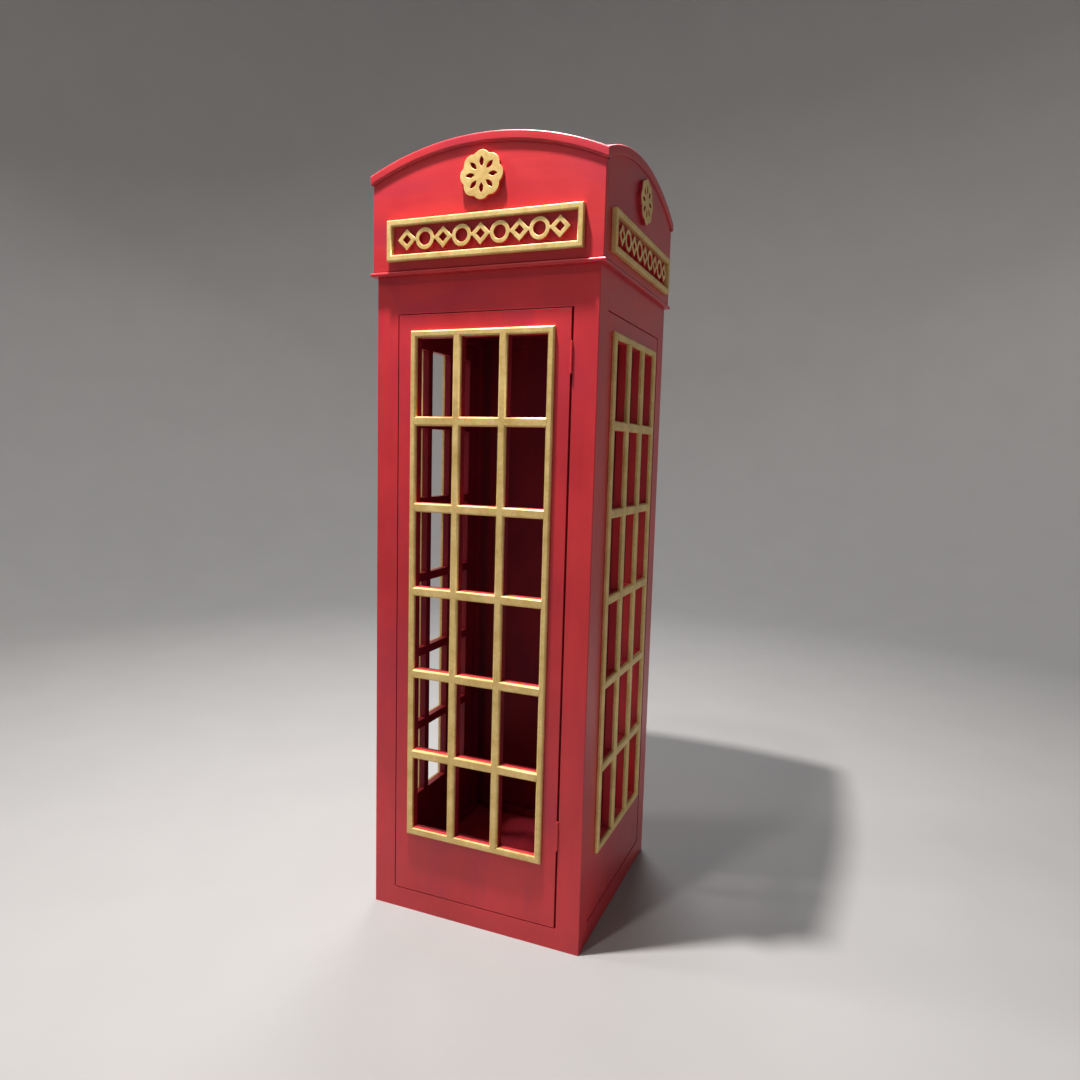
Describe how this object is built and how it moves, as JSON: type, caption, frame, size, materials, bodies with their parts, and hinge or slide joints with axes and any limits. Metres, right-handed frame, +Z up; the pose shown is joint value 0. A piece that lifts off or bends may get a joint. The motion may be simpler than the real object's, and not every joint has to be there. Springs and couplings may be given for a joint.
{
  "type": "telephone booth",
  "caption": "Free-standing square telephone booth of red boards with gilt window grids, a hinged door, a domed head, and a gilt ornament in place of the sign's word.",
  "frame": {"origin": "on the ground at the middle of the footprint", "axes": "+Z up, -Y out of the door, +X towards the door's hinges"},
  "size_m": [0.772, 0.772, 2.4599],
  "materials": {
    "red_paint": "brushed satin red paint on wooden board",
    "inner_red_paint": "thinner dull red paint on wooden board",
    "gilt_paint": "satin gold paint on wooden moulding",
    "painted_steel": "steel brushed over with the red paint",
    "bare_steel": "plain zinc-plated steel",
    "catch_body": "matt moulded plastic"
  },
  "bodies": {
    "booth": {"back_arch_moulding": "red_paint", "back_batten_frame": "inner_red_paint", "back_bottom_rail": "red_paint", "back_emblem": "gilt_paint", "back_fascia": "red_paint", "back_floor_bearer": "inner_red_paint", "back_left_post": "red_paint", "back_panel": "red_paint", "back_right_post": "red_paint", "back_sign_frame": "gilt_paint", "back_sign_ornament": "gilt_paint", "back_top_rail": "red_paint", "ceiling_panel": "inner_red_paint", "cornice": "red_paint", "door_stop_frame": "inner_red_paint", "floor_panel": "inner_red_paint", "front_arch_moulding": "red_paint", "front_bottom_rail": "red_paint", "front_emblem": "gilt_paint", "front_fascia": "red_paint", "front_floor_bearer": "inner_red_paint", "front_left_post": "red_paint", "front_right_post": "red_paint", "front_sign_frame": "gilt_paint", "front_sign_ornament": "gilt_paint", "front_top_rail": "red_paint", "left_arch_moulding": "red_paint", "left_batten_frame": "inner_red_paint", "left_bottom_rail": "red_paint", "left_emblem": "gilt_paint", "left_fascia": "red_paint", "left_glazing_bars": "gilt_paint", "left_panel": "red_paint", "left_sign_frame": "gilt_paint", "left_sign_ornament": "gilt_paint", "left_top_rail": "red_paint", "left_window_frame": "gilt_paint", "lower_hinge_frame_leaf": "painted_steel", "lower_hinge_pin": "painted_steel", "magnetic_catch": "catch_body", "right_arch_moulding": "red_paint", "right_batten_frame": "inner_red_paint", "right_bottom_rail": "red_paint", "right_emblem": "gilt_paint", "right_fascia": "red_paint", "right_glazing_bars": "gilt_paint", "right_panel": "red_paint", "right_sign_frame": "gilt_paint", "right_sign_ornament": "gilt_paint", "right_top_rail": "red_paint", "right_window_frame": "gilt_paint", "roof_shell": "red_paint", "upper_hinge_frame_leaf": "painted_steel", "upper_hinge_pin": "painted_steel"},
    "door": {"door_leaf": "red_paint", "door_window_frame": "gilt_paint", "door_glazing_bars": "gilt_paint", "upper_hinge_door_leaf": "painted_steel", "lower_hinge_door_leaf": "painted_steel", "catch_strike_plate": "bare_steel"}
  },
  "joints": [
    {"name": "door_hinge", "type": "hinge", "parent": "booth", "child": "door", "pos_m": [0.28175, -0.3625, 1], "axis": [0, 0, 1], "range_deg": [0, 110]}
  ]
}
